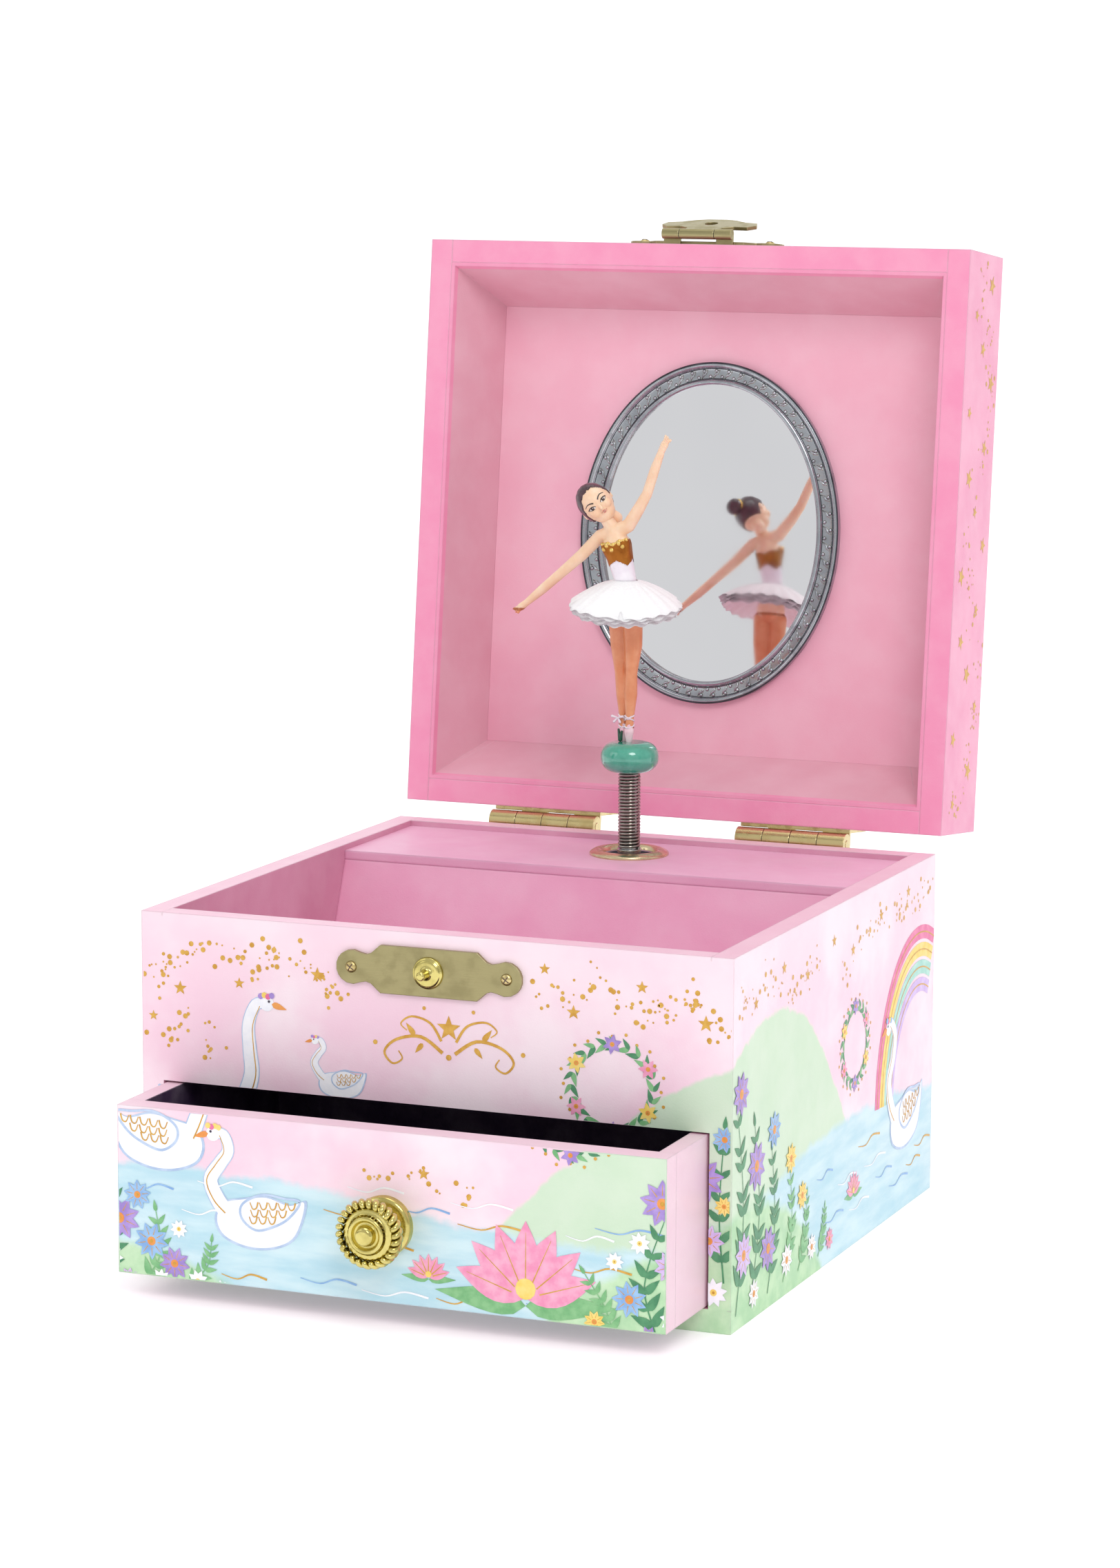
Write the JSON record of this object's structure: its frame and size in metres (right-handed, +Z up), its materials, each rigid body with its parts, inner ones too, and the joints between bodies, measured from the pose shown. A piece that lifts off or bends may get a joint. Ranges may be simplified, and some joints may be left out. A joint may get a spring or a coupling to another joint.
{
  "type": "musical jewellery box",
  "caption": "Square paper-wrapped jewellery box with a hinged mirror lid, hasp, drawer and a wind-up movement that turns a spring-mounted ballerina.",
  "frame": {"origin": "centre of the underside of the bottom board", "axes": "+X to the right, +Y to the back, +Z up; the drawer opens towards -Y"},
  "size_m": [0.125, 0.1983, 0.2054],
  "materials": {
    "case_wrap": "fibreboard wrapped in printed pale pink paper, satin",
    "pink_lining": "pink paper over card, satin",
    "drawer_wrap": "thin board in pink paper",
    "drawer_flock": "dark purple flock",
    "bright_brass": "polished, thin brass plating",
    "dull_brass": "dull antique brass",
    "screw_brass": "plated",
    "movement_brass": "machined",
    "movement_steel": "bright steel",
    "movement_casting": "die-cast, tumbled",
    "spring_steel": "drawn wire",
    "mirror_surround": "silver-plated plastic",
    "mirror_silver": "flat mirror",
    "teal_plastic": "glossy",
    "figure_paint": "hand-painted moulding",
    "white_net": "white net frill"
  },
  "bodies": {
    "base": {"bottom_board": "case_wrap", "left_side": "case_wrap", "right_side": "case_wrap", "front_panel": "case_wrap", "back_panel": "case_wrap", "rear_partition": "case_wrap", "tray_floor": "pink_lining", "movement_shelf": "pink_lining", "movement_cover": "pink_lining", "spring_ferrule": "bright_brass", "base_hinge_leaves": "bright_brass", "base_hinge_screws": "screw_brass", "hinge_pins": "bright_brass", "latch_plate": "dull_brass", "latch_stud": "bright_brass", "latch_screws": "screw_brass", "movement_bedplate": "movement_casting", "barrel_bridge": "movement_casting", "top_bridge": "movement_casting", "governor_bracket": "movement_casting", "movement_screws": "movement_steel", "comb": "movement_steel", "comb_screws": "movement_steel"},
    "lid": {"lid_top": "case_wrap", "lid_left_wall": "case_wrap", "lid_right_wall": "case_wrap", "lid_front_wall": "case_wrap", "lid_back_wall": "case_wrap", "lid_floor_panel": "pink_lining", "lid_liner": "pink_lining", "mirror_frame": "mirror_surround", "mirror_glass": "mirror_silver", "lid_hinge_leaves": "bright_brass", "lid_hinge_screws": "screw_brass", "hasp_plate": "dull_brass", "hasp_screws": "screw_brass", "hasp_pin": "bright_brass"},
    "hasp": {"hasp_tongue": "bright_brass"},
    "drawer": {"drawer_front": "case_wrap", "drawer_left_side": "drawer_wrap", "drawer_right_side": "drawer_wrap", "drawer_back": "drawer_wrap", "drawer_bottom": "drawer_wrap", "drawer_floor_lining": "drawer_flock", "drawer_knob": "bright_brass", "drawer_knob_screw": "movement_steel"},
    "cylinder": {"pinned_cylinder": "movement_brass", "spindle": "movement_steel", "cylinder_pinion": "movement_steel", "cylinder_gear": "movement_brass"},
    "barrel": {"spring_barrel": "movement_brass", "mainspring": "movement_steel"},
    "governor_wheel": {"governor_wheel": "movement_brass"},
    "fan": {"governor_fan": "movement_steel"},
    "key": {"winding_arbor": "movement_steel", "winding_key": "movement_steel"},
    "spring": {"figure_spring": "spring_steel"},
    "ballerina": {"figure_bead": "teal_plastic", "ballerina_figure": "figure_paint", "tutu": "white_net"}
  },
  "joints": [
    {"name": "lid_hinge", "type": "hinge", "parent": "base", "child": "lid", "pos_m": [0, 0.0658, 0.073], "axis": [1, 0, 0], "range_deg": [0, 96.5]},
    {"name": "hasp_swing", "type": "hinge", "parent": "lid", "child": "hasp", "pos_m": [0, 0.08178, 0.20262], "axis": [1, 0, 0], "range_deg": [-10, 163]},
    {"name": "drawer_slide", "type": "slide", "parent": "base", "child": "drawer", "axis": [0, -1, 0], "range_m": [-0.021, 0.034]},
    {"name": "cylinder_spin", "type": "hinge", "parent": "base", "child": "cylinder", "pos_m": [0, 0.043, 0.047], "axis": [0, 0, 1], "continuous": true},
    {"name": "key_turn", "type": "hinge", "parent": "base", "child": "key", "pos_m": [0, 0.06, 0.026], "axis": [0, 1, 0], "continuous": true},
    {"name": "spring_fold", "type": "hinge", "parent": "base", "child": "spring", "pos_m": [0, 0.043, 0.079], "axis": [1, 0, 0], "range_deg": [0, 92], "deforming": ["figure_spring"]},
    {"name": "figure_spin", "type": "hinge", "parent": "spring", "child": "ballerina", "pos_m": [0, 0.043, 0.1], "axis": [0, 0, 1], "continuous": true},
    {"name": "barrel_spin", "type": "hinge", "parent": "base", "child": "barrel", "pos_m": [0, 0.05, 0.026], "axis": [0, 1, 0], "continuous": true},
    {"name": "governor_wheel_spin", "type": "hinge", "parent": "base", "child": "governor_wheel", "pos_m": [0.0112, 0.043, 0.06], "axis": [0, 0, 1], "continuous": true},
    {"name": "fan_spin", "type": "hinge", "parent": "base", "child": "fan", "pos_m": [0.0208, 0.043, 0.05], "axis": [0, 0, 1], "continuous": true}
  ],
  "couplings": [
    {"joint": "spring_fold", "follows": "lid_hinge", "ratio": 0.95337},
    {"joint": "figure_spin", "follows": "cylinder_spin", "ratio": 1},
    {"joint": "barrel_spin", "follows": "cylinder_spin", "ratio": -0.2},
    {"joint": "governor_wheel_spin", "follows": "cylinder_spin", "ratio": -6},
    {"joint": "fan_spin", "follows": "cylinder_spin", "ratio": 30}
  ]
}
